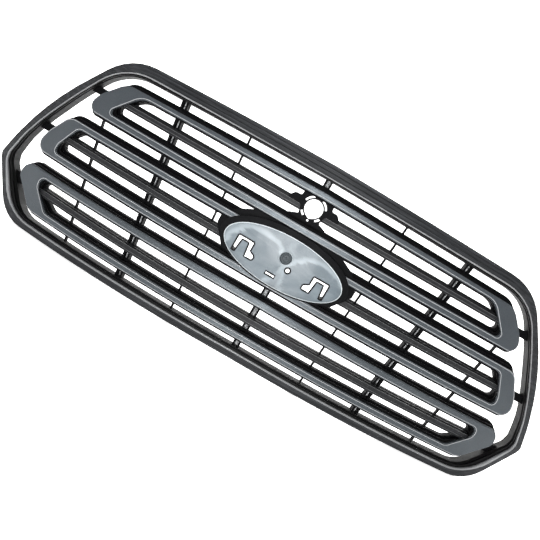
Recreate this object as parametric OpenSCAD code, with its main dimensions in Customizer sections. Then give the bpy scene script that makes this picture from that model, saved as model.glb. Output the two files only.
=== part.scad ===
// Front grille of a large van: a bowed six-sided surround, three capped ring bars,
// three black slats, fanned stiffening ribs, a camera socket and an oval emblem seat.
// Millimetres. +Z up, the front looks along -Y, +X is the right-hand side as seen from the front.
// The origin is the centre of the oval emblem seat, on the bowed front surface.

/* [Sweep] */
// Plan radius of the bowed front
bow_radius = 1350; // [1000:10:2000]
// Depth of the carrier bars behind the front surface
bar_depth = 38; // [30:1:45]
// Depth of the rib spines behind the front surface
spine_depth = 40; // [39:1:55]
// Wall of the channel mouldings
wall = 2.6; // [2:0.1:3.5]

/* [Ring caps] */
// Depth of the ring caps
cap_depth = 9; // [7:0.5:12]
// Skin of the ring caps
cap_skin = 3; // [2:0.25:4]
// Play between a cap and the rail it snaps over
cap_play = 0.12; // [0.05:0.01:0.3]

/* [Ribs] */
// Thickness of a single rib
rib_thick = 3.2; // [2.5:0.1:5]
// Thickness of each blade of a double rib
blade_thick = 3.8; // [2.5:0.1:5]
// Overall width of a double rib
double_width = 13.8; // [12:0.2:18]
// Distance below the centre where the fanned ribs would meet
fan_reach = 1960; // [1500:10:4000]
// Front edge of the ribs behind the front surface
rib_front = 18; // [10:1:20]

/* [Emblem seat] */
// Half width of the oval emblem plate
plate_half_w = 114.5; // [100:0.5:130]
// Half height of the oval emblem plate
plate_half_h = 46.4; // [40:0.2:55]
// Thickness of the emblem plate
plate_thick = 2.6; // [2:0.1:3]
// How far the bezel rim stands proud of the plate
rim_proud = 4; // [2:0.5:8]
// Half width of the bezel rim
rim_half_w = 125; // [118:0.5:135]
// Half height of the bezel rim
rim_half_h = 53.2; // [50:0.2:60]
// How far the rim centre sits above the plate centre
rim_rise = 4.7; // [0:0.1:6]

/* [Camera socket] */
// Height of the socket centre
socket_z = 106.5; // [100:0.5:112]
// Radius of the socket opening
socket_r = 16.6; // [14:0.1:19]

/* [Fixings] */
// Radius of the holes in the upper fixing tabs
tab_hole_r = 3.5; // [2.5:0.1:4.5]
// Side position of the inner pair of fixing tabs
tab_inner_x = 150; // [120:5:200]
// Side position of the outer pair of fixing tabs
tab_outer_x = 330; // [280:5:380]
// Distance of the tab holes behind the back of the lip
tab_reach = 28; // [20:1:36]
// Side position of the outer pair of lower hooks
hook_outer_x = 360; // [300:5:400]
// Side position of the inner pair of lower hooks
hook_inner_x = 130; // [90:5:180]

/* [Hidden] */
$fn = 48;
bow_fn = 360;
tab_z = 173.6;
satin = [0.29, 0.30, 0.32];
black = [0.05, 0.05, 0.055];
bead_grey = [0.22, 0.22, 0.23];
silver = [0.66, 0.71, 0.74];

// Right-hand halves of the closed outlines: side, height, corner radius
frame_out = [[0, 189.5, 0], [425, 183.5, 116], [514, 69.5, 300], [550, 8, 250], [575, -52, 150],
    [588.5, -98, 12], [583.5, -108, 12], [511.5, -201.4, 84], [0, -195.3, 0]];
bead_line = [[0, 166, 0], [424, 164, 115], [489, 70, 400], [527, 8, 300], [551, -42, 150],
    [565, -90, 16], [562, -104, 20], [503, -187, 105], [0, -180, 0]];
frame_in = [[0, 161.5, 0], [424, 156.5, 106], [484, 70, 300], [525, 1, 250], [546.5, -44, 150],
    [554.5, -86, 12], [549.5, -102, 16], [475, -176.5, 60], [0, -172, 0]];
upper_out = [[0, 139.5, 0], [402, 134, 40], [441, 95, 60], [460, 59.5, 16], [0, 59.5, 0]];
upper_in = [[0, 129, 0], [362, 125.5, 40], [416, 72, 8], [0, 71, 0]];
middle_out = [[0, 34, 0], [476, 31, 27], [506, -18, 70], [516, -53, 18], [0, -51, 0]];
middle_in = [[0, 24, 0], [446, 19, 16], [470, -22, 20], [472, -41, 10], [0, -40.5, 0]];
lower_out = [[0, -77, 0], [514, -82.5, 21], [518, -110, 14], [464, -160, 26], [0, -155.5, 0]];
lower_in = [[0, -89, 0], [470, -94.5, 12], [467, -116, 14], [427, -147.5, 18], [0, -145, 0]];

// Ring records: outer outline, inner outline, mid height, rise of the upper face, end draft,
// sill rise, how far the channel shows below the cap outside the ring, and inside it
upper_set = [upper_out, upper_in, 98, 10, 2, 9.5, 4.6, 1.8];
middle_set = [middle_out, middle_in, -9, 11, 3.5, 10, 4.2, 4];
lower_set = [lower_out, lower_in, -118, 7, 6, 6.5, 4, 3.5];

// Slats: underside, top of the front face, top of the rear edge
upper_slat = [93, 103, 110.5];
middle_slat = [-16.8, -5.5, 0.5];
lower_slat_z = [-126.2, -114.5, -111];

function unit(v) = v / norm(v);
function turn(a) = a > 180 ? a - 360 : (a < -180 ? a + 360 : a);
function corner(a, b, c, r) =
    let (u = unit(a - b), w = unit(c - b))
    let (half = acos(u * w) / 2)
    let (m = b + unit(u + w) * (r / sin(half)))
    let (p = b + u * (r / tan(half)) - m, q = b + w * (r / tan(half)) - m)
    let (start = atan2(p[1], p[0]), sweep = turn(atan2(q[1], q[0]) - start))
    let (n = max(1, ceil(abs(sweep) / 9)))
    [for (i = [0:n]) m + r * [cos(start + sweep * i / n), sin(start + sweep * i / n)]];
function full(h) = concat(h, [for (i = [len(h) - 2:-1:1]) [-h[i][0], h[i][1], h[i][2]]]);
function xy(p) = [p[0], p[1]];
function smooth(h) =
    let (f = full(h), n = len(f))
    [for (i = [0:n - 1], p = f[i][2] == 0 ? [xy(f[i])]
        : corner(xy(f[(i + n - 1) % n]), xy(f[i]), xy(f[(i + 1) % n]), f[i][2])) p];
function blend(a, b, t) = [for (i = [0:len(a) - 1]) a[i] * (1 - t) + b[i] * t];
function grow(h, mid, up, side, down) =
    [for (p = h) [p[0] == 0 ? 0 : p[0] + side, p[1] + (p[1] > mid ? up : down), p[2]]];
function lean(x, z) = x * (1 + z / fan_reach);
function bow_y(x, d) = bow_radius - sqrt(pow(bow_radius - d, 2) - x * x);

// A straight-walled prism through the whole depth
module prism(points) {
    translate([0, 240, 0])
        rotate([90, 0, 0])
            linear_extrude(height = 270)
                polygon(points);
}
// A bowed layer between two depths behind the front surface
module layer(d0, d1) {
    translate([0, bow_radius, -230])
        difference() {
            cylinder(r = bow_radius - d0, h = 450, $fn = bow_fn);
            translate([0, 0, -5])
                cylinder(r = bow_radius - d1, h = 460, $fn = bow_fn);
        }
}
// A bowed band between two outlines
module band(outer, inner, d0, d1) {
    intersection() {
        layer(d0, d1);
        difference() {
            prism(smooth(outer));
            prism(smooth(inner));
        }
    }
}
// Half space prism, left or right of the centre
module side_block(s, x0, x1, z0, z1) {
    translate([s > 0 ? x0 : -x1, -40, z0])
        cube([x1 - x0, 320, z1 - z0]);
}
// A bar of one section swept along the bow, half angle a
module swept(section, a = 24) {
    translate([0, bow_radius, 0])
        rotate([0, 0, -90 - a])
            rotate_extrude(angle = 2 * a, $fn = bow_fn)
                polygon([for (p = section) [bow_radius - p[0], p[1]]]);
}

function slat_outside(s) =
    let (m = (s[1] + s[2]) / 2)
    [[8, s[0]], [8, s[0] + wall], [10, s[0] + wall], [10, s[0] + 4], [6, s[0] + 4], [6, s[1]],
        [16, s[1]], [16, m], [27, m], [27, s[2]], [bar_depth, s[2]]];
function slat_section(s) =
    let (m = (s[1] + s[2]) / 2)
    concat(slat_outside(s), [[bar_depth, s[2] - wall], [27 + wall, s[2] - wall],
        [27 + wall, m - wall], [16 + wall, m - wall], [16 + wall, s[1] - wall], [14, s[1] - wall],
        [14, s[0] + wall], [bar_depth, s[0] + wall], [bar_depth, s[0]]]);
function slat_block(s) = concat(slat_outside(s), [[bar_depth, s[0]]]);

function rail_out(r) = grow(r[0], r[2], -wall, -wall, wall);
function rail_in(r) = grow(r[1], r[2], wall, wall, -wall);
function step_out(r) = grow(r[0], r[2], r[3] * 0.45, -1, -r[6]);
function step_in(r) = grow(r[1], r[2], -r[7], -r[4] / 2, r[5] / 2);
function rear_out(r) = grow(r[0], r[2], r[3], -2, -r[6] * 0.6);
function rear_in(r) = grow(r[1], r[2], -r[7] - 1, -r[4], r[5]);

// An upright oval prism through the whole depth
module oval(a, b, rise = 0) {
    translate([0, 240, rise])
        rotate([90, 0, 0])
            linear_extrude(height = 270)
                scale([1, b / a])
                    circle(r = a, $fn = 96);
}
bezel_outline = [[0, 57.6, 0], [84, 57.6, 8], [110, 45, 10], [135, 24, 8], [135, 5, 8],
    [108, -30, 6], [0, -30, 0]];

module ring_cap(r) {
    difference() {
        union() {
            band(grow(r[0], r[2], -1.4, -1.4, 1.4), grow(r[1], r[2], 2.2, 2.2, -2.2), 0, 3);
            band(r[0], r[1], 1.6, cap_depth);
        }
        band(rail_out(r), rail_in(r), cap_skin + 1.2, cap_depth + 1);
    }
}
module ring_carrier(r) {
    difference() {
        union() {
            difference() {
                band(grow(rail_out(r), r[2], -cap_play, -cap_play, cap_play),
                    grow(rail_in(r), r[2], cap_play, cap_play, -cap_play), cap_skin + 1.4, cap_depth + 1);
                children();
            }
            band(step_out(r), step_in(r), cap_depth, 22);
            band(rear_out(r), rear_in(r), 21.5, bar_depth);
        }
        band(grow(step_out(r), r[2], -wall, -wall, wall),
            grow(step_in(r), r[2], wall, wall, -wall), cap_depth + wall, 25);
        band(grow(rear_out(r), r[2], -wall, -wall, wall),
            grow(rear_in(r), r[2], wall, wall, -wall), 21.5 + wall, bar_depth + 1);
    }
}
module surround_lip() {
    color(black)
        for (i = [0:2])
            band(blend(frame_out, bead_line, i / 3 - (i > 0 ? 0.02 : 0)),
                blend(frame_out, bead_line, (i + 1) / 3),
                14 - 5 * i, 14 - 5 * i + 8);
}
module surround_bead() {
    color(bead_grey)
        union() {
            band(blend(frame_out, bead_line, 1), blend(bead_line, frame_in, 0.34), 1, 12);
            band(blend(frame_out, bead_line, 1.04), blend(bead_line, frame_in, 0.24), 0, 4);
        }
}
module surround_wall() {
    color(black)
        union() {
            band(blend(bead_line, frame_in, 0.34), blend(bead_line, frame_in, 0.72), 5, 24);
            band(blend(bead_line, frame_in, 0.68), frame_in, 12, 36);
        }
}
module upper_ring() {
    color(satin)
        ring_cap(upper_set);
}
module middle_ring() {
    color(satin)
        difference() {
            ring_cap(middle_set);
            bezel_rim_block();
        }
}
module lower_ring() {
    color(satin)
        ring_cap(lower_set);
}
module upper_ring_carrier() {
    color(black)
        ring_carrier(upper_set);
}
module middle_ring_carrier() {
    color(black)
        difference() {
            ring_carrier(middle_set)
                side_block(1, -rim_half_w - 15, rim_half_w + 15, -60, 60);
            bezel_body_block();
            intersection() {
                layer(cap_depth - 1, 60);
                oval(plate_half_w - 8, plate_half_h - 8);
            }
        }
}
module lower_ring_carrier() {
    color(black)
        ring_carrier(lower_set);
}

// One side of a slat, cut to the ring it stands in
module slat_half(s, r, side, x0) {
    color(black)
        intersection() {
            swept(slat_section(s));
            prism(smooth(rear_in(r)));
            side_block(side, x0, 520, -220, 220);
        }
}
module upper_slat_left() {
    difference() {
        slat_half(upper_slat, upper_set, -1, 0);
        housing_block();
    }
}
module upper_slat_right() {
    difference() {
        slat_half(upper_slat, upper_set, 1, 0);
        housing_block();
    }
}
module middle_slat_left() {
    difference() {
        slat_half(middle_slat, middle_set, -1, 60);
        prism(smooth(bezel_outline));
    }
}
module middle_slat_right() {
    difference() {
        slat_half(middle_slat, middle_set, 1, 60);
        prism(smooth(bezel_outline));
    }
}
module lower_slat() {
    color(black)
        intersection() {
            swept(slat_section(lower_slat_z));
            prism(smooth(rear_in(lower_set)));
        }
}

// An upright blade of a fanned column
module blade(x, z0, z1, t, off = 0) {
    prism([[lean(x, z0) + off - t / 2, z0], [lean(x, z0) + off + t / 2, z0],
        [lean(x, z1) + off + t / 2, z1], [lean(x, z1) + off - t / 2, z1]]);
}
// Height of an outline at side position x, on its edge from corner i to the next
function edge_z(h, i, x) =
    h[i][1] + (h[i + 1][1] - h[i][1]) * (abs(x) - h[i][0]) / (h[i + 1][0] - h[i][0]);
// Local slice of a bar between two outlines, around side position x
module bar_slice(lo, hi, i, j, x, d0, d1) {
    intersection() {
        layer(d0, d1);
        prism([[x - 12, edge_z(lo, i, x - 12)], [x + 12, edge_z(lo, i, x + 12)],
            [x + 12, edge_z(hi, j, x + 12)], [x - 12, edge_z(hi, j, x - 12)]]);
    }
}
// Solid stand-ins of one ring's two bars, around the ends of a rib column
module ring_notch(r, x) {
    n = len(r[0]) - 2;
    m = len(r[1]) - 2;
    top = lean(x, r[0][0][1]);
    bottom = lean(x, r[0][n + 1][1]);
    bar_slice(step_in(r), step_out(r), 0, 0, top, 0, 21.6);
    bar_slice(rear_in(r), rear_out(r), 0, 0, top, 21.5, bar_depth);
    bar_slice(step_out(r), step_in(r), n, m, bottom, 0, 21.6);
    bar_slice(rear_out(r), rear_in(r), n, m, bottom, 21.5, bar_depth);
}
module notches(x) {
    ring_notch(upper_set, x);
    ring_notch(middle_set, x);
    ring_notch(lower_set, x);
    swept(slat_block(upper_slat));
    swept(slat_block(middle_slat));
    swept(slat_block(lower_slat_z));
}
module comb(x, inset = 0) {
    color(black)
        difference() {
            intersection() {
                layer(rib_front + inset, spine_depth - inset);
                prism(smooth(frame_in));
                children();
            }
            notches(x);
        }
}
module single_rib(x, z0, z1) {
    comb(x, 6)
        blade(x, z0, z1, rib_thick);
}
module double_rib(x, z0, z1) {
    comb(x)
        union() {
            blade(x, z0, z1, blade_thick, (double_width - blade_thick) / 2);
            blade(x, z0, z1, blade_thick, -(double_width - blade_thick) / 2);
            intersection() {
                layer(spine_depth - 7, spine_depth);
                blade(x, z0, z1, double_width - blade_thick);
            }
        }
}
module outer_rib_left() {
    single_rib(-409.5, -200, 66);
}
module outer_rib_right() {
    single_rib(409.5, -200, 66);
}
module double_rib_left() {
    double_rib(-270.5, -200, 190);
}
module double_rib_right() {
    double_rib(270.5, -200, 190);
}
module inner_rib_left() {
    single_rib(-146.5, -200, 190);
}
module inner_rib_right() {
    single_rib(146.5, -200, 190);
}
module centre_rib_upper() {
    double_rib(0, 134, 190);
}
module centre_rib_lower() {
    double_rib(0, -200, -46);
}

// Short ties from the surround to the ring ends
module tie(s, x0, x1, z0, z1, r) {
    color(black)
        difference() {
            intersection() {
                layer(rib_front, 34);
                prism(smooth(frame_in));
                side_block(s, x0, x1, z0, z1);
            }
            prism(smooth(step_out(r)));
            prism(smooth(rear_out(r)));
        }
}
module upper_tie_left() {
    tie(-1, 400, 500, 92.5, 106.5, upper_set);
}
module upper_tie_right() {
    tie(1, 400, 500, 92.5, 106.5, upper_set);
}
module middle_tie_left() {
    tie(-1, 470, 560, -17, -2.5, middle_set);
}
module middle_tie_right() {
    tie(1, 470, 560, -17, -2.5, middle_set);
}
module lower_tie_left() {
    tie(-1, 480, 560, -131, -113, lower_set);
}
module lower_tie_right() {
    tie(1, 480, 560, -131, -113, lower_set);
}

// Emblem seat: the oval rim in front, the box body behind it
module bezel_rim_block() {
    intersection() {
        layer(-20, cap_depth);
        oval(rim_half_w, rim_half_h, rim_rise);
    }
}
module bezel_body_block() {
    intersection() {
        layer(cap_depth - 1, 60);
        prism(smooth(bezel_outline));
    }
}
module emblem_bezel() {
    color(black)
        difference() {
            union() {
                intersection() {
                    layer(-rim_proud, cap_depth);
                    oval(rim_half_w, rim_half_h, rim_rise);
                }
                intersection() {
                    layer(cap_depth - 1, 34);
                    prism(smooth(bezel_outline));
                }
            }
            intersection() {
                layer(-10, plate_thick);
                oval(plate_half_w + 0.3, plate_half_h + 0.3);
            }
            oval(plate_half_w - 8, plate_half_h - 8);
            difference() {
                intersection() {
                    layer(cap_depth + 3, 40);
                    prism(smooth(grow(bezel_outline, 10, -3, -3, 3)));
                }
                oval(plate_half_w - 5, plate_half_h - 5);
            }
        }
}
// Arched clip window with a foot: a slot round three sides of a tongue
module clip_window(s) {
    scale([s, 1])
        polygon([[90, -24], [90, 4], [88, 6.2], [60, 6.2], [58.4, 4.6], [58.4, -10.6], [50.6, -14],
            [48.4, -16.5], [48.4, -22], [50.6, -24], [64.4, -24], [67.6, 0.6], [80.6, 0.6],
            [83.6, -24]]);
}
module emblem_plate() {
    color(silver)
        difference() {
            intersection() {
                layer(0, plate_thick);
                oval(plate_half_w, plate_half_h);
            }
            translate([0, 240, 0])
                rotate([90, 0, 0])
                    linear_extrude(height = 270) {
                        clip_window(1);
                        clip_window(-1);
                        translate([14, -8])
                            circle(r = 5);
                        translate([-9.5, -29])
                            square([18, 5.4], center = true);
                    }
            translate([1, 0.9, 9])
                rotate([90, 0, 0])
                    difference() {
                        cylinder(r = 11, h = 6);
                        cylinder(r = 9.2, h = 6);
                    }
        }
}

// Camera socket
housing_half = [[0, 127, 0], [29, 127, 2], [30, 117.5, 3], [41, 117.5, 6], [49, 108, 3],
    [49, 103, 2], [24, 103, 3], [20, 88, 3], [36, 82, 1], [36, 80, 0], [0, 80, 0]];
module housing_block() {
    intersection() {
        layer(2, bar_depth + 2);
        prism(smooth(housing_half));
    }
}
module socket_opening(e) {
    translate([0, 240, socket_z])
        rotate([90, 0, 0])
            linear_extrude(height = 270) {
                circle(r = socket_r + e, $fn = 64);
                polygon([[-socket_r * 0.6, -socket_r * 0.85], [socket_r * 0.6, -socket_r * 0.85],
                    [0, -socket_r * 1.16]]);
            }
}
module crescent(a0, a1) {
    translate([0, 240, socket_z])
        rotate([90, 0, 0])
            linear_extrude(height = 270)
                polygon(concat([for (i = [0:6]) (socket_r + 6.2) * [cos(a0 + (a1 - a0) * i / 6),
                    sin(a0 + (a1 - a0) * i / 6)]],
                    [for (i = [6:-1:0]) (socket_r + 2.6) * [cos(a0 + (a1 - a0) * i / 6),
                    sin(a0 + (a1 - a0) * i / 6)]]));
}
module socket_housing() {
    color(black)
        difference() {
            intersection() {
                layer(5, 30);
                prism(smooth(housing_half));
                prism(smooth(rear_in(upper_set)));
            }
            translate([0, 40, socket_z - 22.6])
                rotate([90, 0, 0])
                    cylinder(r = 1.9, h = 50);
            socket_opening(1.8);
            crescent(20, 68);
            crescent(112, 160);
            crescent(213, 238);
            crescent(302, 327);
        }
}
module socket_collar() {
    color(bead_grey)
        intersection() {
            layer(3, 26);
            difference() {
                translate([0, 240, socket_z])
                    rotate([90, 0, 0])
                        linear_extrude(height = 270)
                            circle(r = socket_r + 1.7, $fn = 64);
                socket_opening(0);
            }
        }
}

// Upper fixing tabs with upright screw holes, standing on the back of the lip
module fixing_tab(x) {
    y = bow_y(x, 17);
    difference() {
        translate([x - 17, y - 8, tab_z])
            cube([34, 50, 3.2]);
        layer(-60, 17);
        translate([x, y + tab_reach, tab_z - 2])
            cylinder(r = tab_hole_r, h = 8);
    }
    for (s = [-1, 1])
        difference() {
            translate([x + s * 15.4 - 1.6, y - 8, tab_z - 8])
                cube([3.2, 30, 8]);
            layer(-60, 17);
        }
}
module upper_fixing_tabs() {
    color(black)
        for (x = [-tab_outer_x, -tab_inner_x, tab_inner_x, tab_outer_x])
            fixing_tab(x);
}
// Lower snap hooks, standing on the back of the bottom lip, noses turned up
module hook(x) {
    y = bow_y(x, 22);
    translate([x, 0, edge_z(blend(frame_out, bead_line, 1 / 6), 7, x) - 1.3])
        difference() {
            union() {
                translate([-11, y - 8, 0])
                    cube([22, 36, 2.6]);
                translate([-11, y + 20, 2.6])
                    rotate([90, 0, 90])
                        linear_extrude(height = 22)
                            polygon([[0, -1], [8, -1], [1.5, 3.4], [0, 3.4]]);
            }
            translate([-x, 0, 0])
                layer(-60, 22);
        }
}
module lower_hooks() {
    color(black)
        for (x = [-hook_outer_x, -hook_inner_x, hook_inner_x, hook_outer_x])
            hook(x);
}
// Side locating pins, standing on the back of the lip
module side_pins() {
    color(black)
        for (s = [-1, 1])
            difference() {
                translate([s * 529, bow_y(529, 17) - 6, 20])
                    rotate([-90, 0, 0])
                        cylinder(r = 3.5, h = 36);
                layer(-60, 17);
            }
}

surround_lip();
surround_bead();
surround_wall();
upper_ring();
middle_ring();
lower_ring();
upper_ring_carrier();
middle_ring_carrier();
lower_ring_carrier();
upper_slat_left();
upper_slat_right();
middle_slat_left();
middle_slat_right();
lower_slat();
outer_rib_left();
outer_rib_right();
double_rib_left();
double_rib_right();
inner_rib_left();
inner_rib_right();
centre_rib_upper();
centre_rib_lower();
upper_tie_left();
upper_tie_right();
middle_tie_left();
middle_tie_right();
lower_tie_left();
lower_tie_right();
emblem_bezel();
emblem_plate();
socket_housing();
socket_collar();
upper_fixing_tabs();
lower_hooks();
side_pins();
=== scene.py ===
"""Looks for a bowed front grille: satin ring caps, moulded black bars and ribs,
a pale emblem plate, a camera socket, a pale studio floor and soft light."""

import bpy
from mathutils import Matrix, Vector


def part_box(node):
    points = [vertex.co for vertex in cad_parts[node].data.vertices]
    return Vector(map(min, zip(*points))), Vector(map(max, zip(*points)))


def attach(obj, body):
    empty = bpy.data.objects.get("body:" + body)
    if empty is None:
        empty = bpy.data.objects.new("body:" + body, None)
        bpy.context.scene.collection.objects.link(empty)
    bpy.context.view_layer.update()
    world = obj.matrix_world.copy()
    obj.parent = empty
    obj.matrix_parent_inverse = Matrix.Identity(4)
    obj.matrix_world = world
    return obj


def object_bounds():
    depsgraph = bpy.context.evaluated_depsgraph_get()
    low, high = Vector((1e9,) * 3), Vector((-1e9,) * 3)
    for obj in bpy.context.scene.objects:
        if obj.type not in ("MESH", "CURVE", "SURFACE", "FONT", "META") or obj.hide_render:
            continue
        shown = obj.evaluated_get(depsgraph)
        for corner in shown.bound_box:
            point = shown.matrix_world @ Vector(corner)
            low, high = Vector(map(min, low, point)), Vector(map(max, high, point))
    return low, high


bl_info = {
    "name": "Front grille finish",
    "version": (1, 0, 0),
    "blender": (4, 5, 0),
    "location": "3D View > Sidebar > Grille",
    "description": "Moulded plastic finishes, fine details and a studio for a front grille",
    "category": "Object",
}

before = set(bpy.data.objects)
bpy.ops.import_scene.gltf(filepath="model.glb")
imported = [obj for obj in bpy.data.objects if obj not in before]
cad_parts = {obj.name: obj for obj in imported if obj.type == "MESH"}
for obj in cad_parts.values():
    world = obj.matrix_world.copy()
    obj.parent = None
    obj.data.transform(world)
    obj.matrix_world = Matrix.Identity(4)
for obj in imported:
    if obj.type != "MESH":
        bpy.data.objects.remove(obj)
CAD_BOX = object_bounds()

import math

import bmesh
import bpy
from mathutils import Matrix, Vector

MM = 0.001
WHITE = (1.0, 1.0, 1.0, 1.0)

BOW_RADIUS = 1350 * MM      # plan radius of the bowed front, about a line behind it
WELD = 0.02 * MM            # corners closer than this are one corner of a solid
DEPTH_SLACK = 0.35 * MM     # how far an edge may lie from the depth that is looked for
SHARP = 0.6                 # radians between two faces that make a sharp edge
BEAD_SIDES = 8              # sides of the fine beads swept along edges

RINGS = ("upper_ring", "middle_ring", "lower_ring")
CARRIERS = tuple(ring + "_carrier" for ring in RINGS)
SLATS = ("upper_slat_left", "upper_slat_right", "middle_slat_left", "middle_slat_right",
         "lower_slat")
FIXINGS = ("upper_fixing_tabs", "lower_hooks", "side_pins")

# The mould dial on the emblem plate: its place from the plate's centre, and its turned
# profile as (radius, height above the plate), in millimetres.
DIAL_ASIDE, DIAL_UP, DIAL_SUNK = 1.0, 9.0, 0.2
DIAL_TURNS = 40
DIAL_PROFILE = [(10.8, -0.6), (10.8, 0.5), (9.9, 0.9), (8.9, 0.35), (7.6, 0.35), (6.8, 0.8),
                (5.9, 0.8), (5.3, 0.3), (2.6, 0.3), (2.1, 0.9), (1.0, 1.1)]

# The studio's sweep, in metres: the floor's front edge, where it starts to rise, the radius
# of the rise, the wall's top and half of the width.
FLOOR_FRONT, RISE_START, RISE_RADIUS, WALL_TOP, HALF_WIDTH = -14.0, 1.6, 0.9, 8.0, 14.0
RISE_STEPS = 16


# ---------------------------------------------------------------- node helpers

def put(tree, kind, inputs=None, **settings):
    """Adds a node, applies its settings, then fills or links its inputs."""
    node = tree.nodes.new(kind)
    for key, value in settings.items():
        setattr(node, key, value)
    for key, value in (inputs or {}).items():
        socket = node.inputs[key]
        if isinstance(value, bpy.types.NodeSocket):
            tree.links.new(value, socket)
        else:
            socket.default_value = value
    return node


def maths(tree, operation, a, b=0.0, clamp=False):
    """A Math node's result."""
    node = put(tree, "ShaderNodeMath", {0: a, 1: b}, operation=operation, use_clamp=clamp)
    return node.outputs[0]


def remap(tree, value, lo, hi, to_lo=0.0, to_hi=1.0):
    """A clamped, eased change of range."""
    node = put(tree, "ShaderNodeMapRange",
               {"Value": value, "From Min": lo, "From Max": hi, "To Min": to_lo, "To Max": to_hi},
               interpolation_type="SMOOTHSTEP")
    return node.outputs["Result"]


def tint(tree, factor, a, b):
    """A colour between a and b."""
    node = put(tree, "ShaderNodeMix", data_type="RGBA")
    for socket, value in zip((node.inputs[0], node.inputs[6], node.inputs[7]), (factor, a, b)):
        if isinstance(value, bpy.types.NodeSocket):
            tree.links.new(value, socket)
        else:
            socket.default_value = value if isinstance(value, float) else (*value, 1.0)
    return node.outputs[2]


def noise(tree, where, scale, detail=2.0, roughness=0.5, distortion=0.0):
    """A noise value at a place."""
    node = put(tree, "ShaderNodeTexNoise",
               {"Vector": where, "Scale": scale, "Detail": detail, "Roughness": roughness,
                "Distortion": distortion})
    return node.outputs["Fac"]


def own_place(tree):
    """The place on the object, in metres."""
    return tree.nodes.new("ShaderNodeTexCoord").outputs["Object"]


def stretch(tree, where, amounts):
    """The place, stretched along the axes, for streaks and drawn-out marks."""
    node = put(tree, "ShaderNodeMapping", {"Vector": where, "Scale": amounts})
    return node.outputs["Vector"]


def axes(tree, vector):
    """A vector's parts, by the names X, Y and Z."""
    return put(tree, "ShaderNodeSeparateXYZ", {0: vector}).outputs


def distance(tree, a, b):
    """The length of the sloping side of a right angle with sides a and b."""
    squares = maths(tree, "ADD", maths(tree, "MULTIPLY", a, a), maths(tree, "MULTIPLY", b, b))
    return maths(tree, "SQRT", squares)


def new_group(name, inputs, outputs):
    """An empty shader node group with its named sockets."""
    tree = bpy.data.node_groups.new(name, "ShaderNodeTree")
    for label, default in inputs:
        socket = tree.interface.new_socket(label, in_out="INPUT", socket_type="NodeSocketFloat")
        socket.default_value = default
    for label, kind in outputs:
        tree.interface.new_socket(label, in_out="OUTPUT", socket_type=kind)
    return tree, tree.nodes.new("NodeGroupInput").outputs, tree.nodes.new("NodeGroupOutput").inputs


def grain_group():
    """Fine spark-eroded grain of a moulding: a height for bump and a tone for colour."""
    tree, given, out = new_group("moulding grain", [("Pitch", 900.0), ("Pits", 0.5)],
                                 [("Height", "NodeSocketFloat"), ("Tone", "NodeSocketFloat")])
    where = own_place(tree)
    fine = noise(tree, where, given["Pitch"], 3.0, 0.6)
    cells = put(tree, "ShaderNodeTexVoronoi", {"Vector": where, "Scale": given["Pitch"]},
                feature="F1").outputs["Distance"]
    pits = remap(tree, cells, 0.1, 0.75)
    mixed = maths(tree, "ADD", maths(tree, "MULTIPLY", pits, given["Pits"]), fine)
    tree.links.new(mixed, out["Height"])
    tree.links.new(remap(tree, mixed, 0.35, 1.2), out["Tone"])
    return tree


def edge_group():
    """Rounded edges: a softened normal, and a broken mask along every edge for an edge colour that is
    partly rubbing and partly painted edge highlight and shade.
    """
    tree, given, out = new_group("rubbed edge", [("Radius", 0.6 * MM), ("Breakup", 60.0)],
                                 [("Normal", "NodeSocketVector"), ("Mask", "NodeSocketFloat")])
    bevel = put(tree, "ShaderNodeBevel", {"Radius": given["Radius"]}, samples=6)
    flat = tree.nodes.new("ShaderNodeNewGeometry").outputs["Normal"]
    along = put(tree, "ShaderNodeVectorMath", {0: bevel.outputs[0], 1: flat},
                operation="DOT_PRODUCT").outputs["Value"]
    bent = remap(tree, along, 0.995, 0.82)
    breakup = noise(tree, own_place(tree), given["Breakup"], 4.0, 0.65)
    patchy = remap(tree, breakup, 0.32, 0.62, 0.25, 1.0)
    tree.links.new(bevel.outputs[0], out["Normal"])
    tree.links.new(maths(tree, "MULTIPLY", bent, patchy, True), out["Mask"])
    return tree


def wear_group():
    """Handling haze and settled dust: where the surface has dulled and where it is dusty."""
    tree, given, out = new_group("haze and dust", [("Size", 14.0), ("Reach", 0.02)],
                                 [("Haze", "NodeSocketFloat"), ("Dust", "NodeSocketFloat")])
    where = own_place(tree)
    haze = remap(tree, noise(tree, where, given["Size"], 5.0, 0.6, 0.4), 0.35, 0.7)
    open_to = put(tree, "ShaderNodeAmbientOcclusion", {"Distance": given["Reach"]},
                  samples=6, only_local=True).outputs["AO"]
    corner = remap(tree, open_to, 0.75, 0.25)
    speckle = remap(tree, noise(tree, where, 420.0, 3.0, 0.7), 0.45, 0.75)
    up = axes(tree, tree.nodes.new("ShaderNodeNewGeometry").outputs["Normal"])["Z"]
    settled = maths(tree, "MULTIPLY", remap(tree, up, 0.3, 1.0), speckle)
    tree.links.new(haze, out["Haze"])
    tree.links.new(maths(tree, "ADD", maths(tree, "MULTIPLY", corner, 0.25), settled, True),
                   out["Dust"])
    return tree


def use(tree, group, **values):
    """Places a shared effect in a material, with this material's own values."""
    node = tree.nodes.new("ShaderNodeGroup")
    node.node_tree = bpy.data.node_groups[group]
    for key, value in values.items():
        node.inputs[key].default_value = value
    return node.outputs


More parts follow.
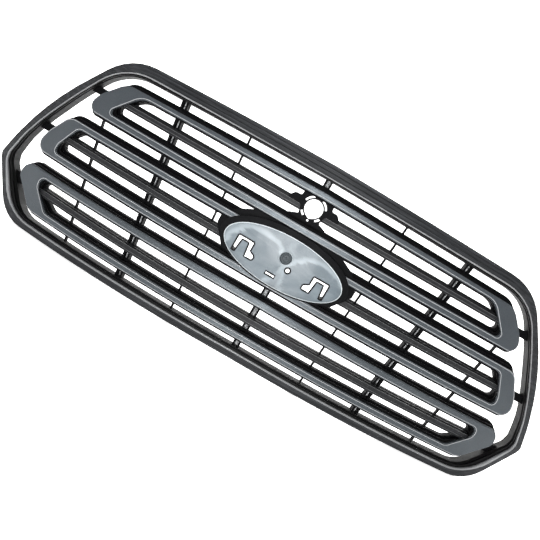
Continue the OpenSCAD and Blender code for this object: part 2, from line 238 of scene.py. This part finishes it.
def moulded(name, base, rubbed_and_painted_light, dusty, gloss=(0.34, 0.5), pitch=900.0, pits=0.5, depth=0.25,
            radius=0.6 * MM, rub_and_painted_light=0.5, dust=0.25, streak=0.0, shine=0.5):
    """A moulded plastic: grain, uneven gloss, edges tinted for rubbing and painted edge light, and a
    little dust.

    base, the edge colour and dusty are the colours of the skin, its edges and the dust; the edge colour
    is partly rubbing and partly painted edge highlight, and painted shade where it is darker than the
    skin; gloss is the roughness where clean and where hazed; pitch, pits and depth set the grain; radius
    is the edges' softness; the edge strength, dust and streak are strengths; shine is the specular
    level.
    """
    material = bpy.data.materials.new(name)
    material.use_nodes = True
    tree = material.node_tree
    shader = tree.nodes["Principled BSDF"]
    grain = use(tree, "moulding grain", Pitch=pitch, Pits=pits)
    edge = use(tree, "rubbed edge", Radius=radius, Breakup=70.0)
    wear = use(tree, "haze and dust", Size=14.0, Reach=0.012)
    deeper = tuple(c * 0.72 for c in base)
    colour = tint(tree, grain["Tone"], deeper, base)
    if streak:
        drawn = noise(tree, stretch(tree, own_place(tree), (3.0, 12.0, 90.0)), 3.0, 4.0, 0.6, 0.6)
        amount = maths(tree, "MULTIPLY", remap(tree, drawn, 0.42, 0.7), streak)
        colour = tint(tree, amount, colour, tuple(min(1.0, c * 1.9) for c in base))
    # The edge colour over the mask: partly rubbing, partly painted edge highlight, and painted shade
    # where it is darker than the skin.
    colour = tint(tree, maths(tree, "MULTIPLY", edge["Mask"], rub_and_painted_light), colour, rubbed_and_painted_light)
    colour = tint(tree, maths(tree, "MULTIPLY", wear["Dust"], dust), colour, dusty)
    tree.links.new(colour, shader.inputs["Base Color"])
    dulled = maths(tree, "ADD", maths(tree, "MULTIPLY", wear["Haze"], gloss[1] - gloss[0]), gloss[0])
    dulled = maths(tree, "ADD", dulled, maths(tree, "MULTIPLY", wear["Dust"], 0.25), True)
    tree.links.new(dulled, shader.inputs["Roughness"])
    bump = put(tree, "ShaderNodeBump",
               {"Height": grain["Height"], "Normal": edge["Normal"], "Strength": depth,
                "Distance": 0.2 * MM})
    tree.links.new(bump.outputs["Normal"], shader.inputs["Normal"])
    shader.inputs["IOR"].default_value = 1.49
    shader.inputs["Specular IOR Level"].default_value = shine
    return material


def paint(material, *nodes):
    """Gives CAD nodes their finish."""
    for node in nodes:
        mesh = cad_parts[node].data
        mesh.materials.clear()
        mesh.materials.append(material)


def paint_web_sheen(material, start, colour):
    """Paints a pale speckled sheen on the front faces deeper than start, on the web between two blades;
    the web is black moulding and this pale tone is painted sheen.
    """
    tree = material.node_tree
    skin = tree.nodes["Principled BSDF"].inputs["Base Color"]
    where = own_place(tree)
    place = axes(tree, where)
    to_axis = distance(tree, place["X"], maths(tree, "SUBTRACT", place["Y"], BOW_RADIUS))
    depth = maths(tree, "SUBTRACT", BOW_RADIUS, to_axis)
    facing = axes(tree, tree.nodes.new("ShaderNodeTexCoord").outputs["Normal"])["Y"]
    mask = maths(tree, "MULTIPLY", remap(tree, depth, start - 0.6 * MM, start + 0.6 * MM),
                 remap(tree, facing, -0.6, -0.8))
    pits = remap(tree, noise(tree, where, 420.0, 2.0), 0.42, 0.58)
    # The pale speckled tone is painted sheen, not the web's own colour.
    web = tint(tree, pits, tuple(c * 0.25 for c in colour), colour)
    tree.links.new(tint(tree, mask, skin.links[0].from_socket, web), skin)


def flow_marks(material):
    """Adds the plate's moulding marks: two mirrored swirls, their pale crests and a dark drift."""
    tree = material.node_tree
    skin = tree.nodes["Principled BSDF"].inputs["Base Color"]
    where = own_place(tree)
    place = axes(tree, where)
    drift = noise(tree, stretch(tree, where, (9.0, 1.0, 26.0)), 1.0, 5.0, 0.6, 1.6)
    wander = maths(tree, "MULTIPLY", maths(tree, "SUBTRACT", drift, 0.5), 30 * MM)

    streaks = maths(tree, "MULTIPLY", remap(tree, drift, 0.4, 0.66), 0.35)
    colour = tint(tree, streaks, skin.links[0].from_socket, (0.26, 0.30, 0.325))

    away = maths(tree, "ABSOLUTE", maths(tree, "SUBTRACT", place["X"], 6 * MM))
    aside = maths(tree, "SUBTRACT", away, 58 * MM)
    below = maths(tree, "MULTIPLY", maths(tree, "SUBTRACT", place["Z"], -16 * MM), 1.25)
    swirl = maths(tree, "ADD", distance(tree, aside, below), wander)
    inside = maths(tree, "MULTIPLY", remap(tree, swirl, 46 * MM, 58 * MM, 1.0, 0.0), 0.45)
    colour = tint(tree, inside, colour, (0.055, 0.075, 0.09))
    crest = maths(tree, "MULTIPLY", remap(tree, swirl, 50 * MM, 56 * MM),
                  remap(tree, swirl, 58 * MM, 66 * MM, 1.0, 0.0))
    colour = tint(tree, maths(tree, "MULTIPLY", crest, 0.4), colour, (0.34, 0.385, 0.41))

    core = remap(tree, maths(tree, "ADD", maths(tree, "ABSOLUTE", place["X"]), wander),
                 0.0, 22 * MM, 1.0, 0.0)
    drop = remap(tree, place["Z"], -30 * MM, 0.0, 1.0, 0.0)
    smoke = maths(tree, "MULTIPLY", maths(tree, "MULTIPLY", core, drop), 0.6)
    tree.links.new(tint(tree, smoke, colour, (0.05, 0.066, 0.078)), skin)


# ---------------------------------------------------------------- lines along moulded edges

def depth_of(point):
    """Depth behind the bowed front surface."""
    return BOW_RADIUS - math.hypot(point.x, point.y - BOW_RADIUS)


def edge_chains(node, depth, wanted=None):
    """Chains of sharp edges of a CAD node that run at one depth, each as (points, closed).

    The node itself isn't changed: its mesh is copied first.
    """
    mesh = bmesh.new()
    mesh.from_mesh(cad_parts[node].data)
    bmesh.ops.remove_doubles(mesh, verts=mesh.verts, dist=WELD)
    links = {}
    for edge in mesh.edges:
        a, b = edge.verts
        sharp = len(edge.link_faces) == 2 and edge.calc_face_angle(0.0) >= SHARP
        level = all(abs(depth_of(end.co) - depth) <= DEPTH_SLACK for end in (a, b))
        if sharp and level and (wanted is None or wanted(a.co, b.co)):
            links.setdefault(a.index, []).append(b.index)
            links.setdefault(b.index, []).append(a.index)
    places = {v.index: v.co.copy() for v in mesh.verts}
    mesh.free()
    chains, done = [], set()
    for start in sorted(links, key=lambda i: (len(links[i]) != 1, i)):
        if start in done:
            continue
        chain, here = [start], start
        done.add(start)
        while True:
            ahead = [i for i in links[here] if i not in done]
            if not ahead:
                break
            here = ahead[0]
            done.add(here)
            chain.append(here)
        if len(chain) > 3:
            closed = start in links[here] and len(chain) > 4
            chains.append(([places[i] for i in chain], closed))
    return chains


def width(chain):
    """How far a chain reaches from left to right."""
    xs = [point.x for point in chain[0]]
    return max(xs) - min(xs)


def height(chain):
    """How far a chain reaches from bottom to top."""
    zs = [point.z for point in chain[0]]
    return max(zs) - min(zs)


def middle_up(chain):
    """The height of the middle of a chain."""
    zs = [point.z for point in chain[0]]
    return (min(zs) + max(zs)) / 2


def near_level(slope):
    """A test of edges: whether one rises by less than this share of its length."""
    return lambda a, b: abs(a.z - b.z) < slope * (a - b).length


def join_rings(mesh, rings, closed=False, smooth=False):
    """Skins a row of rings of corners, and caps its ends unless it closes on itself."""
    sides = len(rings[0])
    pairs = list(zip(rings, rings[1:])) + ([(rings[-1], rings[0])] if closed else [])
    for near, far in pairs:
        for k in range(sides):
            after = (k + 1) % sides
            mesh.faces.new((near[k], near[after], far[after], far[k])).smooth = smooth
    if not closed:
        mesh.faces.new(rings[0][::-1])
        mesh.faces.new(rings[-1])


def finished(mesh, name):
    """Turns a mesh in the making into a named mesh with its faces outwards."""
    bmesh.ops.recalc_face_normals(mesh, faces=mesh.faces)
    data = bpy.data.meshes.new(name)
    mesh.to_mesh(data)
    mesh.free()
    return data


def add_piece(name, data, material):
    """Adds a piece to the scene, on the grille's body, with its finish."""
    if not data.polygons:
        raise RuntimeError(f"{name} came out empty")
    piece = bpy.data.objects.new(name, data)
    bpy.context.scene.collection.objects.link(piece)
    data.materials.append(material)
    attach(piece, "root")


def add_beads(name, chains, radius, material, sunk=0.3):
    """Adds a piece of fine round beads swept along the chains, sunk a little into the face."""
    mesh = bmesh.new()
    for points, closed in chains:
        thinned = [points[0]]
        for point in points[1:]:
            if (point - thinned[-1]).length > radius * 0.8:
                thinned.append(point)
        count = len(thinned)
        rings = []
        for i, point in enumerate(thinned):
            before = thinned[i - 1] if closed or i else point
            after = thinned[(i + 1) % count] if closed or i + 1 < count else point
            along = (after - before).normalized()
            front = Vector((point.x, point.y - BOW_RADIUS, 0.0)).normalized()
            across = along.cross(front).normalized()
            front = across.cross(along).normalized()
            middle = point - front * radius * sunk
            turns = [math.tau * k / BEAD_SIDES for k in range(BEAD_SIDES)]
            rings.append([mesh.verts.new(middle + radius * (math.cos(t) * across + math.sin(t) * front))
                          for t in turns])
        join_rings(mesh, rings, closed, smooth=True)
    add_piece(name, finished(mesh, name), material)


def dial_mesh(name, place):
    """The mould dial: a turned stack of low ridges about a centre, facing forwards."""
    mesh = bmesh.new()
    rings = []
    for radius, rise in DIAL_PROFILE:
        ring = []
        for k in range(DIAL_TURNS):
            angle = math.tau * k / DIAL_TURNS
            ring.append(mesh.verts.new((place.x + radius * math.cos(angle) * MM,
                                        place.y - rise * MM,
                                        place.z + radius * math.sin(angle) * MM)))
        rings.append(ring)
    join_rings(mesh, rings)
    return finished(mesh, name)


# ---------------------------------------------------------------- properties

def colour_prop(name, description, default):
    """A colour that a user may change."""
    return bpy.props.FloatVectorProperty(name=name, description=description, default=default,
                                         subtype="COLOR", size=3, min=0.0, max=1.0)


def length_prop(name, description, default):
    """A length that a user may change."""
    return bpy.props.FloatProperty(name=name, description=description, default=default,
                                   subtype="DISTANCE", unit="LENGTH", min=0.0)


def angle_prop(name, description, degrees):
    """An angle that a user may change."""
    return bpy.props.FloatProperty(name=name, description=description,
                                   default=math.radians(degrees), subtype="ANGLE")


def power_prop(name, description, default):
    """A lamp's power that a user may change."""
    return bpy.props.FloatProperty(name=name, description=description, default=default,
                                   unit="POWER", min=0.0)


def amount_prop(name, description, default, least=0.0):
    """A plain number that a user may change."""
    return bpy.props.FloatProperty(name=name, description=description, default=default, min=least)


class GrilleFinish(bpy.types.PropertyGroup):
    """Colours and edge sizes of the grille's plastics."""
    ring_colour: colour_prop("Ring caps", "Satin colour of the three ring caps", (0.031, 0.035, 0.040))
    surround_colour: colour_prop("Surround", "Colour of the outer lip", (0.022, 0.023, 0.025))
    # The bead colour is a painted highlight on the surround's black rounded edge.
    bead_highlight_colour: colour_prop("Bead", "Colour of the bead line inside the lip", (0.20, 0.204, 0.21))
    bar_colour: colour_prop("Bars", "Colour of the ring carriers and the socket housing",
                            (0.0050, 0.0050, 0.0056))
    slat_colour: colour_prop("Slats", "Colour of the slats", (0.016, 0.0165, 0.018))
    rib_colour: colour_prop("Ribs", "Colour of the ribs, ties and fixings", (0.0050, 0.0050, 0.0056))
    # The web colour is a painted sheen on the black web between twin rib blades.
    web_sheen_colour: colour_prop("Web", "Colour of the web between twin rib blades", (0.60, 0.61, 0.62))
    plate_colour: colour_prop("Emblem plate", "Colour of the pale plate", (0.125, 0.155, 0.175))
    # The edge line colour and radius paint highlights along the caps', the surround bead's and the
    # slats' edges.
    edge_highlight_colour: colour_prop("Edge line", "Colour of the highlight-painted edges of the caps", (0.28, 0.29, 0.30))
    highlight_line_radius: length_prop("Edge line radius", "Radius of the highlight-painted edge lines", 0.8 * MM)
    rim_radius: length_prop("Plate rim radius", "Radius of the bead round the plate", 1.1 * MM)
    # Dark beads round the cut-outs paint the shadow in their gaps.
    cut_shadow_radius: length_prop("Cut-out edge radius", "Radius of the dark edges of the cut-outs", 1.6 * MM)
    web_depth: length_prop("Web depth", "Depth of the pale web between twin rib blades", 32.5 * MM)
    slat_face: length_prop("Slat face depth", "Depth of the slats' front face", 6.0 * MM)


class GrilleStudio(bpy.types.PropertyGroup):
    """Floor, light and camera."""
    floor_colour: colour_prop("Floor", "Colour of the studio floor", (0.92, 0.92, 0.915))
    floor_glow: amount_prop("Floor glow", "Light given off by the lit floor", 0.8)
    sky: amount_prop("Sky", "Brightness of the white surroundings", 0.35)
    key_power: power_prop("Key power", "Power of the front light", 38.0)
    ceiling_power: power_prop("Ceiling power", "Power of the ceiling light", 80.0)
    backdrop_power: power_prop("Backdrop power", "Power of the backdrop light", 60.0)
    camera_distance: length_prop("Camera distance", "From the emblem seat to the camera", 1.1)
    camera_rise: angle_prop("Camera rise", "Height angle of the camera", 5.0)
    camera_roll: angle_prop("Camera roll", "Turn about the view axis", 30.0)
    lens: amount_prop("Lens", "Focal length in millimetres", 42.64, least=10.0)


# ---------------------------------------------------------------- pieces

class GRILLE_OT_surround(bpy.types.Operator):
    """Finishes the surround's lip, bead line and inner wall"""
    bl_idname = "grille.surround"
    bl_label = "Surround"

    def execute(self, context):
        look = context.scene.grille_finish
        # The lip's edge colour is darker than its skin: painted shade on its rounded edges.
        lip = moulded("lip grey-black", tuple(look.surround_colour), (0.004, 0.004, 0.0045),
                      (0.12, 0.117, 0.11), gloss=(0.44, 0.56), pitch=1100.0, streak=0.8,
                      radius=2.2 * MM, rub_and_painted_light=1.0, shine=0.1, dust=0.05)
        # The bead's grey skin and paler edges are a painted highlight on the surround's black rounded
        # front edge.
        bead = moulded("bead painted highlight", tuple(look.bead_highlight_colour), (0.40, 0.41, 0.415),
                       (0.2, 0.195, 0.185), gloss=(0.22, 0.34), pitch=1500.0, depth=0.1, rub_and_painted_light=0.8)
        wall = moulded("inner wall black", (0.003, 0.003, 0.0033), (0.02, 0.02, 0.021),
                       (0.06, 0.058, 0.055), gloss=(0.5, 0.62), pitch=1100.0, shine=0.12, dust=0.12)
        paint(lip, "surround_lip")
        paint(bead, "surround_bead")
        paint(wall, "surround_wall")
        # A fine bead along the crest carries the same painted highlight.
        crown = min(depth_of(v.co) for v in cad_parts["surround_bead"].data.vertices)
        long = [c for c in edge_chains("surround_bead", crown) if width(c) > 200 * MM]
        add_beads("surround_bead_line", long, look.highlight_line_radius * 0.9, bead)
        return {"FINISHED"}


class GRILLE_OT_rings(bpy.types.Operator):
    """Finishes the three satin ring caps and the fine pale beads along their edges, which paint a
    highlight
    """
    bl_idname = "grille.rings"
    bl_label = "Ring caps"

    def execute(self, context):
        look = context.scene.grille_finish
        # The caps' edge colour, paler than the skin, is partly rubbing and partly a painted highlight
        # along their edges.
        cap = moulded("ring satin", tuple(look.ring_colour), (0.20, 0.215, 0.225),
                      (0.24, 0.235, 0.22), gloss=(0.30, 0.40), pitch=620.0, pits=0.9, depth=0.45,
                      radius=0.9 * MM, rub_and_painted_light=0.5, dust=0.12)
        shader = cap.node_tree.nodes["Principled BSDF"]
        shader.inputs["Specular Tint"].default_value = (0.84, 0.94, 1.0, 1.0)
        # Pale beads along the caps' inner edges and feet: a painted highlight where the edges catch the
        # light.
        line = moulded("highlight-painted edge", tuple(look.edge_highlight_colour), (0.66, 0.68, 0.69),
                       (0.3, 0.295, 0.28), gloss=(0.2, 0.3), pitch=1500.0, depth=0.08,
                       radius=0.3 * MM, rub_and_painted_light=0.4, dust=0.1)
        paint(cap, *RINGS)
        for node in RINGS:
            inner, lower = self.runs(node)
            add_beads(node + "_inner_line", inner, look.highlight_line_radius, line)
            if lower:
                add_beads(node + "_lower_line", lower, look.highlight_line_radius * 0.8, line)
        return {"FINISHED"}

    def runs(self, node):
        """The front edges of a ring: round its inside, and along its foot."""
        low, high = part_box(node)
        across, tall = high.x - low.x, high.z - low.z
        fronts = [c for c in edge_chains(node, 0.0) if width(c) > 100 * MM]
        inner = [min(fronts, key=width)]
        if node == "middle_ring":       # this one is broken by the emblem seat
            inner = [c for c in fronts if width(c) < 0.95 * across] or inner
        under = (low.z + high.z) / 2 - 0.3 * tall
        sloping_little = near_level(0.3)
        feet = edge_chains(node, 0.0, wanted=lambda a, b: max(a.z, b.z) < under and sloping_little(a, b))
        lower = [c for c in feet if width(c) > 100 * MM and middle_up(c) < low.z + 0.2 * tall]
        return inner, lower


class GRILLE_OT_bars(bpy.types.Operator):
    """Finishes the black ring carriers and the slats"""
    bl_idname = "grille.bars"
    bl_label = "Bars and slats"

    def execute(self, context):
        look = context.scene.grille_finish
        black = moulded("bar black", tuple(look.bar_colour), (0.024, 0.0245, 0.025),
                        (0.07, 0.068, 0.065), gloss=(0.5, 0.62), pitch=1000.0, radius=0.7 * MM,
                        shine=0.02, dust=0.02)
        slat = moulded("slat black", tuple(look.slat_colour), (0.045, 0.046, 0.048),
                       (0.08, 0.078, 0.074), gloss=(0.4, 0.54), pitch=1000.0, radius=0.8 * MM,
                       shine=0.12, dust=0.04)
        # Pale beads along the slats' front edges: a painted highlight on their twin front lines.
        glint = moulded("slat edge painted highlight", (0.085, 0.087, 0.09), (0.22, 0.222, 0.226), (0.2, 0.195, 0.185),
                        gloss=(0.26, 0.38), pitch=1500.0, depth=0.08, radius=0.3 * MM)
        paint(black, *CARRIERS)
        paint(slat, *SLATS)
        for node in SLATS:
            fronts = edge_chains(node, look.slat_face, wanted=near_level(0.1))
            add_beads(node + "_lines", [c for c in fronts if width(c) > 50 * MM],
                      look.highlight_line_radius * 0.6, glint, sunk=0.5)
        return {"FINISHED"}


class GRILLE_OT_ribs(bpy.types.Operator):
    """Finishes the fanned ribs, the ties and the fixings"""
    bl_idname = "grille.ribs"
    bl_label = "Ribs, ties and fixings"

    def execute(self, context):
        look = context.scene.grille_finish
        rib, twin = [moulded(name, tuple(look.rib_colour), (0.018, 0.018, 0.019),
                             (0.05, 0.049, 0.047), gloss=(0.5, 0.62), pitch=900.0,
                             radius=0.5 * MM, shine=0.02, dust=0.02)
                     for name in ("rib black", "twin rib black")]
        # The twin ribs' web gets a pale painted sheen.
        paint_web_sheen(twin, look.web_depth, tuple(look.web_sheen_colour))
        fixing = moulded("fixing black", tuple(look.rib_colour), (0.05, 0.051, 0.053),
                         (0.1, 0.098, 0.094), gloss=(0.42, 0.56), pitch=800.0, radius=0.5 * MM,
                         shine=0.3)
        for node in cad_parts:
            if node.startswith(("double_rib", "centre_rib")):
                paint(twin, node)
            elif "_rib_" in node or "_tie_" in node:
                paint(rib, node)
        paint(fixing, *FIXINGS)
        return {"FINISHED"}


class GRILLE_OT_emblem_seat(bpy.types.Operator):
    """Finishes the oval bezel and its pale plate"""
    bl_idname = "grille.emblem_seat"
    bl_label = "Emblem seat"

    def execute(self, context):
        look = context.scene.grille_finish
        bezel = moulded("bezel black", (0.004, 0.0042, 0.0048), (0.03, 0.031, 0.033),
                        (0.07, 0.068, 0.065), gloss=(0.42, 0.54), pitch=1100.0, radius=1.2 * MM,
                        shine=0.03, dust=0.01)
        plate = moulded("plate pale grey", tuple(look.plate_colour), (0.80, 0.84, 0.86),
                        (0.42, 0.43, 0.42), gloss=(0.28, 0.44), pitch=600.0, pits=0.2, depth=0.12,
                        radius=1.2 * MM, rub_and_painted_light=1.0, dust=0.15, shine=0.22)
        flow_marks(plate)
        paint(bezel, "emblem_bezel")
        paint(plate, "emblem_plate")
        self.edges(look)
        self.dial()
        return {"FINISHED"}

    def edges(self, look):
        """The plate's pale rim, and dark beads round its cut-outs that paint the shadow in their gaps.
        """
        low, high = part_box("emblem_plate")
        rim, cuts = [], []
        for chain in edge_chains("emblem_plate", 0.0):
            round_mark = abs(width(chain) - height(chain)) < 1.5 * MM and width(chain) > 15 * MM
            if width(chain) > 0.8 * (high.x - low.x):
                rim.append(chain)
            elif not round_mark:
                cuts.append(chain)
        pale = moulded("plate rim", (0.55, 0.60, 0.62), (0.8, 0.83, 0.84), (0.45, 0.46, 0.45),
                       gloss=(0.25, 0.38), pitch=900.0, depth=0.08)
        # Dark beads round the cut-outs: painted shadow in the gaps.
        dark = moulded("cut-out painted shadow", (0.006, 0.0065, 0.007), (0.03, 0.03, 0.031),
                       (0.08, 0.078, 0.074), gloss=(0.5, 0.6), pitch=900.0, shine=0.12)
        add_beads("plate_rim", rim, look.rim_radius, pale)
        add_beads("cut_out_painted_shadow", cuts, look.cut_shadow_radius, dark)

    def dial(self):
        """The round ridged mould dial above the middle of the plate."""
        low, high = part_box("emblem_plate")
        centre = (low + high) / 2
        place = Vector((centre.x + DIAL_ASIDE * MM, low.y + DIAL_SUNK * MM, centre.z + DIAL_UP * MM))
        # The dial's dark tone stands in for the shade in its fine rings: painted shade.
        grey = moulded("dial grey painted shade", (0.020, 0.028, 0.033), (0.13, 0.16, 0.175), (0.2, 0.2, 0.19),
                       gloss=(0.4, 0.52), pitch=500.0, depth=0.3, rub_and_painted_light=0.9, shine=0.2)
        add_piece("mould_dial", dial_mesh("mould_dial", place), grey)


class GRILLE_OT_socket(bpy.types.Operator):
    """Finishes the camera socket and its collar"""
    bl_idname = "grille.socket"
    bl_label = "Camera socket"

    def execute(self, context):
        look = context.scene.grille_finish
        housing = moulded("housing black", tuple(look.bar_colour), (0.03, 0.03, 0.031),
                          (0.08, 0.078, 0.074), gloss=(0.46, 0.58), pitch=1000.0, shine=0.02,
                          dust=0.02)
        collar = moulded("collar black", (0.004, 0.004, 0.0045), (0.03, 0.03, 0.031),
                         (0.08, 0.078, 0.074), gloss=(0.44, 0.54), pitch=1200.0, shine=0.08,
                         dust=0.02)
        paint(housing, "socket_housing")
        paint(collar, "socket_collar")
        return {"FINISHED"}


# ---------------------------------------------------------------- studio

def area_light(name, place, size, power, target=(0.0, 0.0, 0.0)):
    """A soft rectangular light that faces a point."""
    lamp = bpy.data.lights.new(name, "AREA")
    lamp.shape = "RECTANGLE"
    lamp.size, lamp.size_y = size
    lamp.energy = power
    light = bpy.data.objects.new(name, lamp)
    bpy.context.scene.collection.objects.link(light)
    light.location = place
    light.rotation_euler = (Vector(target) - Vector(place)).to_track_quat("-Z", "Y").to_euler()


def sweep_mesh(name, level):
    """A floor at a level that curves up into a wall behind the grille."""
    profile = [(FLOOR_FRONT, 0.0), (RISE_START, 0.0)]
    for step in range(1, RISE_STEPS + 1):
        angle = step * math.pi / 2 / RISE_STEPS
        profile.append((RISE_START + RISE_RADIUS * math.sin(angle),
                        RISE_RADIUS - RISE_RADIUS * math.cos(angle)))
    profile.append((RISE_START + RISE_RADIUS, WALL_TOP))
    sheet = bmesh.new()
    rows = [[sheet.verts.new((x, y, level + z)) for x in (-HALF_WIDTH, HALF_WIDTH)]
            for y, z in profile]
    for near, far in zip(rows, rows[1:]):
        sheet.faces.new((near[0], near[1], far[1], far[0])).smooth = True
    mesh = bpy.data.meshes.new(name)
    sheet.to_mesh(mesh)
    sheet.free()
    return mesh


def studio_paper(colour, glow):
    """The lit white paper of the floor and the wall."""
    paper = bpy.data.materials.new("studio paper")
    paper.use_nodes = True
    tree = paper.node_tree
    shader = tree.nodes["Principled BSDF"]
    cloud = noise(tree, own_place(tree), 3.0, 4.0)
    brighter = tuple(min(1.0, c * 1.03) for c in colour)
    tree.links.new(tint(tree, cloud, colour, brighter), shader.inputs["Base Color"])
    shader.inputs["Roughness"].default_value = 0.9
    shader.inputs["Emission Color"].default_value = WHITE
    shader.inputs["Emission Strength"].default_value = glow
    return paper


class GRILLE_OT_studio(bpy.types.Operator):
    """Builds the pale floor and backdrop, the soft light and the camera"""
    bl_idname = "grille.studio"
    bl_label = "Studio"

    def execute(self, context):
        studio = context.scene.grille_studio
        sweep = bpy.data.objects.new("studio_sweep", sweep_mesh("studio_sweep", CAD_BOX[0][2]))
        context.scene.collection.objects.link(sweep)
        sweep.data.materials.append(studio_paper(tuple(studio.floor_colour), studio.floor_glow))
        self.lights(context.scene, studio)
        self.camera(context.scene, studio)
        context.scene.view_settings.view_transform = "Standard"
        return {"FINISHED"}

    def lights(self, scene, studio):
        """White surroundings, a front light for the caps, and light on floor and wall."""
        world = bpy.data.worlds.new("white surroundings")
        world.use_nodes = True
        around = world.node_tree.nodes["Background"]
        around.inputs["Color"].default_value = WHITE
        around.inputs["Strength"].default_value = studio.sky
        scene.world = world
        area_light("front light", (-0.06, -1.9, -0.06), (0.6, 0.35), studio.key_power)
        area_light("ceiling light", (0.0, 0.2, 3.2), (4.5, 4.5), studio.ceiling_power)
        area_light("backdrop light", (0.0, 0.9, 2.6), (3.5, 0.8), studio.backdrop_power,
                   target=(0.0, 2.5, 0.2))

    def camera(self, scene, studio):
        """The camera in front of the emblem seat, a little above it and rolled."""
        away, rise, roll = studio.camera_distance, studio.camera_rise, studio.camera_roll
        place = Vector((0.0, -away * math.cos(rise), away * math.sin(rise)))
        back = place.normalized()
        side = Vector((1.0, 0.0, 0.0))
        up = back.cross(side)
        right = math.cos(roll) * side + math.sin(roll) * up
        top = math.cos(roll) * up - math.sin(roll) * side
        lens = bpy.data.cameras.new("camera")
        lens.lens = studio.lens
        lens.sensor_width = 36.0
        lens.shift_x = -0.0236
        lens.shift_y = -0.0133
        lens.clip_start = 0.01
        camera = bpy.data.objects.new("camera", lens)
        scene.collection.objects.link(camera)
        turn = Matrix((right, top, back)).transposed().to_4x4()
        camera.matrix_world = Matrix.Translation(place) @ turn
        scene.camera = camera


class GRILLE_PT_panel(bpy.types.Panel):
    """Lists the grille's pieces and settings"""
    bl_idname = "GRILLE_PT_panel"
    bl_label = "Grille"
    bl_space_type = "VIEW_3D"
    bl_region_type = "UI"
    bl_category = "Grille"

    def draw(self, context):
        for group in (context.scene.grille_finish, context.scene.grille_studio):
            column = self.layout.column()
            for key in group.__annotations__:
                column.prop(group, key)
        for operator in OPERATORS:
            self.layout.operator(operator.bl_idname)


OPERATORS = (GRILLE_OT_surround, GRILLE_OT_rings, GRILLE_OT_bars, GRILLE_OT_ribs,
             GRILLE_OT_emblem_seat, GRILLE_OT_socket, GRILLE_OT_studio)
CLASSES = (GrilleFinish, GrilleStudio, *OPERATORS, GRILLE_PT_panel)


def register():
    """Registers the settings, the operators and the panel."""
    for cls in CLASSES:
        bpy.utils.register_class(cls)
    bpy.types.Scene.grille_finish = bpy.props.PointerProperty(type=GrilleFinish)
    bpy.types.Scene.grille_studio = bpy.props.PointerProperty(type=GrilleStudio)


def unregister():
    """Takes away what register made."""
    del bpy.types.Scene.grille_studio
    del bpy.types.Scene.grille_finish
    for cls in reversed(CLASSES):
        bpy.utils.unregister_class(cls)


def main():
    """Registers the add-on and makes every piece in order."""
    register()
    grain_group()
    edge_group()
    wear_group()
    bpy.ops.grille.surround()
    bpy.ops.grille.rings()
    bpy.ops.grille.bars()
    bpy.ops.grille.ribs()
    bpy.ops.grille.emblem_seat()
    bpy.ops.grille.socket()
    bpy.ops.grille.studio()


if __name__ == "__main__":
    main()
